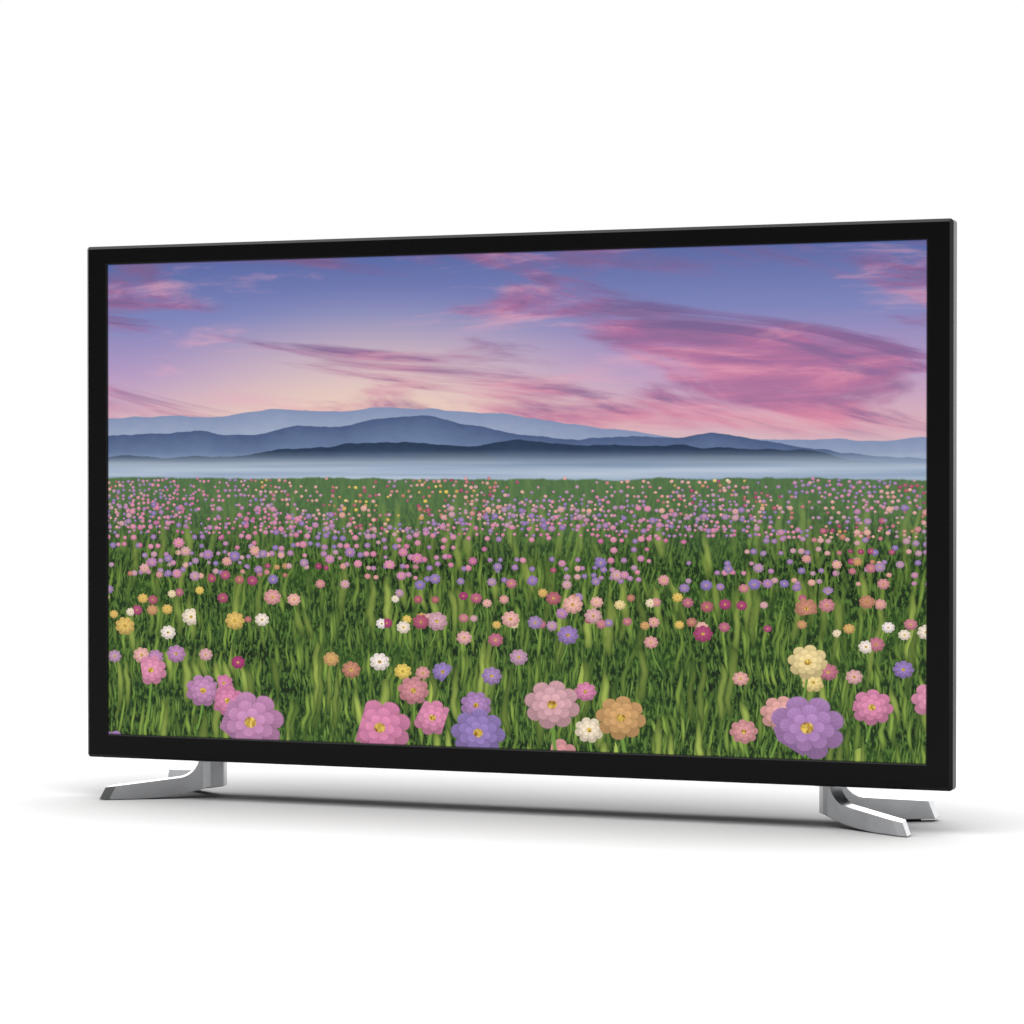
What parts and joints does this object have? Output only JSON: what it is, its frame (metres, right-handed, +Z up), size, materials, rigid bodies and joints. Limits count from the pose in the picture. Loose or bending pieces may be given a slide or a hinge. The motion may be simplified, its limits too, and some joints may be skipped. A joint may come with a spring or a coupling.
{
  "type": "flat screen monitor",
  "caption": "Wide flat screen with a slim chamfered black frame, lit picture and splayed V-shaped metal feet, with wall mount holes and side-facing sockets behind.",
  "frame": {"origin": "on the floor, at the middle of the set's width and midway between the feet's front and rear tips", "axes": "+X to the viewer's right along the set's width, +Y to the back, +Z up; the picture faces -Y"},
  "size_m": [0.7384, 0.1212, 0.4602],
  "materials": {
    "frame_black": "fine satin black",
    "picture_glass": "anti-glare panel",
    "gasket_foam": "foam",
    "inner_black": "moulded",
    "film_clear": "frosted",
    "film_white": "white film",
    "lens_clear": "clear",
    "lamp_yellow": "phosphor",
    "tray_steel": "zinc coated",
    "board_green": "solder mask",
    "chip_black": "moulded chip",
    "sink_metal": "extruded",
    "socket_steel": "plated shell",
    "socket_black": "moulded socket",
    "capacitor_sleeve": "shrink sleeve",
    "winding_tape": "tape",
    "lead_black": "insulation",
    "ribbon_white": "flat cable",
    "flex_amber": "polyimide",
    "speaker_black": "moulded box",
    "driver_grey": "paper cone",
    "cover_black": "fine texture",
    "insert_steel": "zinc plated",
    "screw_black": "black zinc",
    "bracket_steel": "pressed",
    "foot_silver": "satin cast",
    "pad_rubber": "rubber",
    "stick_black": "moulded"
  },
  "bodies": {
    "cabinet": {"front_bezel": "frame_black", "panel_gasket": "gasket_foam", "lcd_cell": "picture_glass", "mid_frame": "inner_black", "prism_sheet": "film_clear", "diffuser_sheet": "film_clear", "diffuser_plate": "film_clear", "reflector_sheet": "film_white", "diffuser_supports": "film_white", "led_bars": "sink_metal", "led_chips": "lamp_yellow", "led_lenses": "lens_clear", "back_plate": "tray_steel", "panel_board": "board_green", "panel_flexes": "flex_amber", "display_ribbon": "ribbon_white", "main_board": "board_green", "processor": "chip_black", "processor_heatsink": "sink_metal", "memory_chips": "chip_black", "tuner_can": "socket_steel", "antenna_socket": "socket_steel", "hdmi_sockets": "socket_steel", "usb_socket": "socket_steel", "lan_socket": "socket_black", "power_board": "board_green", "transformer": "winding_tape", "capacitors": "capacitor_sleeve", "power_heatsink": "sink_metal", "ac_inlet": "socket_black", "board_standoffs": "insert_steel", "board_screws": "insert_steel", "supply_lead": "lead_black", "backlight_lead": "lead_black", "speaker_leads": "lead_black", "speaker_box_left": "speaker_black", "speaker_box_right": "speaker_black", "speaker_driver_left": "driver_grey", "speaker_driver_right": "driver_grey", "wifi_module": "board_green", "ir_board": "board_green", "jog_housing": "stick_black", "jog_board": "board_green", "rear_cover": "cover_black", "vesa_inserts": "insert_steel", "cover_screws": "screw_black", "foot_bracket_left": "bracket_steel", "foot_bracket_right": "bracket_steel", "foot_left": "foot_silver", "foot_right": "foot_silver", "foot_pads_left": "pad_rubber", "foot_pads_right": "pad_rubber", "foot_screws_left": "screw_black", "foot_screws_right": "screw_black"},
    "jog_ring": {"jog_ring": "stick_black"},
    "jog_lever": {"jog_lever": "stick_black"},
    "jog_cap": {"jog_cap": "stick_black"}
  },
  "joints": [
    {"name": "jog_up_down", "type": "hinge", "parent": "cabinet", "child": "jog_ring", "pos_m": [-0.175, 0.0234, 0.1085], "axis": [1, 0, 0], "range_deg": [-6, 6], "stiffness_Nm_per_rad": 0.04},
    {"name": "jog_left_right", "type": "hinge", "parent": "jog_ring", "child": "jog_lever", "pos_m": [-0.175, 0.0234, 0.1085], "axis": [0, 0, 1], "range_deg": [-6, 6], "stiffness_Nm_per_rad": 0.04},
    {"name": "jog_press", "type": "slide", "parent": "jog_lever", "child": "jog_cap", "axis": [0, -1, 0], "range_m": [0, 0.0012], "stiffness_N_per_m": 500}
  ]
}
